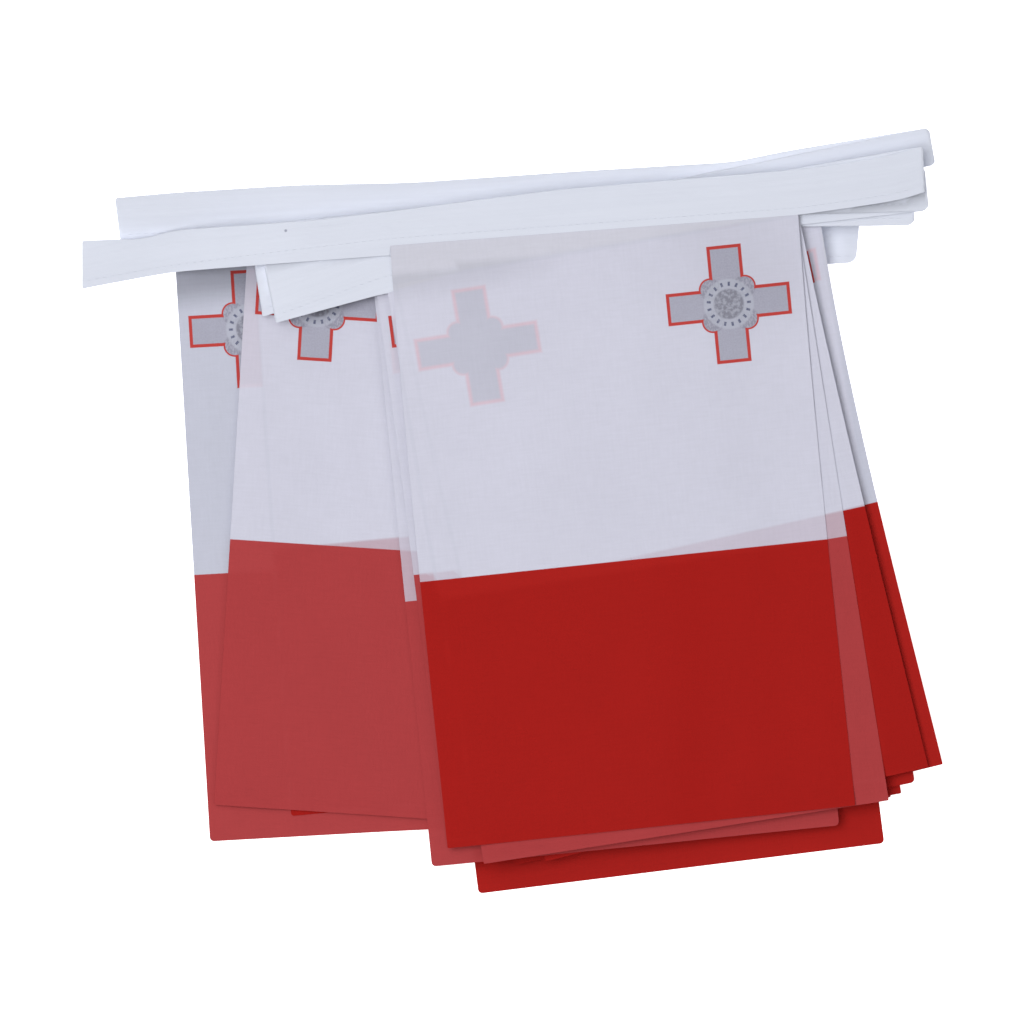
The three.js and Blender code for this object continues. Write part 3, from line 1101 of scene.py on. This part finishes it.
front_cloth = flag_finish("printed cloth, front", FRONT_RED, FRONT_RED_THIN)
back_cloth = flag_finish("printed cloth, back", BACK_RED, BACK_RED_THIN)
for layer, flag in enumerate(flags):
    faces = (front_cloth, back_cloth) if front_is_up(layer) else (back_cloth, front_cloth)
    for face in faces:
        flag.data.materials.append(face)
print("nodes in a flag's finish:", len(front_cloth.node_tree.nodes))

# %% [markdown]
# The tape is a firmer, plain white cloth with a faint blue cast. It has been creased lengthwise by being
# folded and pulled, and a stitched groove runs along its open edge; both have relief and a little painted
# shade. One small dark spot sits near the loose end.

# %% The finish of the tape
SPOT = (-82.7, 102.9)
SPOT_RADIUS = 0.5


def tape_finish():
    finish = Finish("heading tape cloth")
    along, across, shade = finish.measured("strip")
    place = finish.node("ShaderNodeTexCoord", output="Object").split()
    creases = finish.grain(finish.point(along * 0.012, across * 0.55), 1.0, detail=3.0)
    cloud = finish.grain(finish.point(along * 0.03, across * 0.1, 5.0), 1.0)
    groove = (0.45 - abs(across - SEAM)).mask(0.5)
    # Painted shade: the tape is darker along its creases and in the stitched groove.
    colour = finish.blend((creases - 0.5).mask(0.9) * 0.5, TAPE_WHITE, TAPE_SHADE)
    colour = finish.blend(groove * 0.1, colour, TAPE_SHADE)
    spot = SPOT_RADIUS - (place[0] * 1000 - SPOT[0]).from_origin(place[1] * 1000 - SPOT[1])
    colour = finish.blend(spot.mask(0.5) * 0.6, colour, MARK_BLUE)
    # The painted shade and painted light darken or lighten the tape's colour.
    colour = finish.blend(1.0, colour, (1 + (cloud - 0.5) * 0.05) * (1 - shade), kind="MULTIPLY")
    relief = creases * 3 - groove * 0.4 + weave(along, across) * 0.1
    return finish.cloth(colour, relief, roughness=0.7, relief=0.06)


def thread_finish():
    finish = Finish("white thread")
    place = finish.node("ShaderNodeTexCoord", output="Object").split()
    twist = ((place[0] + place[1]) * 9000).sine()
    # Painted shade along the twist of the thread.
    colour = finish.blend(0.5 + twist * 0.15, THREAD_WHITE, TAPE_SHADE)
    return finish.cloth(colour, twist, roughness=0.6, relief=0.03)


tape.data.materials.append(tape_finish())
stitches.data.materials.append(thread_finish())

# %% [markdown]
# Every piece is tied to the frame: it stands for its node, whose plain solid is hidden, and hangs from the
# frame's root.

# %% Tying the pieces to the frame
for layer, flag in enumerate(flags):
    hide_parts(f"flag_{layer + 1:02d}")
    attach(flag, "root")
    length = (flag_corners(FLAGS[layer]).head_left - flag_corners(FLAGS[layer]).foot_left)

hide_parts("tape")
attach(tape, "root")
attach(stitches, "root")

# %% [markdown]
# The stack lies on a plain white floor under soft light, and is seen from straight above. A long lens
# from far away keeps all layers at the same scale. Most light falls from above, a little to the left. A
# weaker lamp stands towards the top of the picture, so each edge throws a thin, soft shade downwards, and
# another on the right keeps the cloth bright where it slopes down to the floor.

# %% Floor, light and camera
VIEW_WIDTH = 0.3764
VIEW_HEIGHT = 6.0
SENSOR = 36.0
FLOOR_HALF = 2.5
SKY = 0.2
TOP_POWER = 49.0
KEY_POWER = 6.0
SIDE_POWER = 3.5


def lay_floor():
    mesh = bpy.data.meshes.new("floor")
    half = FLOOR_HALF
    mesh.from_pydata([(-half, -half, 0), (half, -half, 0), (half, half, 0), (-half, half, 0)], [], [(0, 1, 2, 3)])
    floor = bpy.data.objects.new("floor", mesh)
    bpy.context.collection.objects.link(floor)
    finish = Finish("white floor")
    paper = finish.node("ShaderNodeBsdfPrincipled", values={
        "Base Color": (0.9, 0.9, 0.9, 1),
        "Roughness": 0.9,
        "Specular IOR Level": 0.0,
        "Emission Color": (1, 1, 1, 1),
        "Emission Strength": 0.9,
    })
    finish.node("ShaderNodeOutputMaterial", values={"Surface": paper})
    mesh.materials.append(finish.material)


def hang_lamp(name, place, size, power):
    lamp = bpy.data.lights.new(name, "AREA")
    lamp.shape, lamp.size, lamp.energy = "DISK", size, power
    holder = bpy.data.objects.new(name, lamp)
    holder.location = place
    holder.rotation_mode = "QUATERNION"
    holder.rotation_quaternion = holder.location.to_track_quat("Z", "Y")
    bpy.context.collection.objects.link(holder)


def set_sky():
    world = bpy.data.worlds.new("soft sky")
    world.use_nodes = True
    world.node_tree.nodes["Background"].inputs["Color"].default_value = (1, 1, 1, 1)
    world.node_tree.nodes["Background"].inputs["Strength"].default_value = SKY
    bpy.context.scene.world = world


def set_camera():
    lens = bpy.data.cameras.new("camera")
    lens.sensor_width = SENSOR
    lens.lens = SENSOR * VIEW_HEIGHT / VIEW_WIDTH
    lens.clip_end = 20
    camera = bpy.data.objects.new("camera", lens)
    camera.location = (0.0002, -0.0002, VIEW_HEIGHT)
    bpy.context.collection.objects.link(camera)
    bpy.context.scene.camera = camera


lay_floor()
hang_lamp("top lamp", (-0.45, 0.0, 2.4), 1.6, TOP_POWER)
hang_lamp("key lamp", (-0.6, 1.0, 1.9), 1.2, KEY_POWER)
hang_lamp("side lamp", (1.2, 0.1, 1.8), 1.2, SIDE_POWER)
set_sky()
set_camera()
bpy.context.scene.view_settings.view_transform = "Standard"
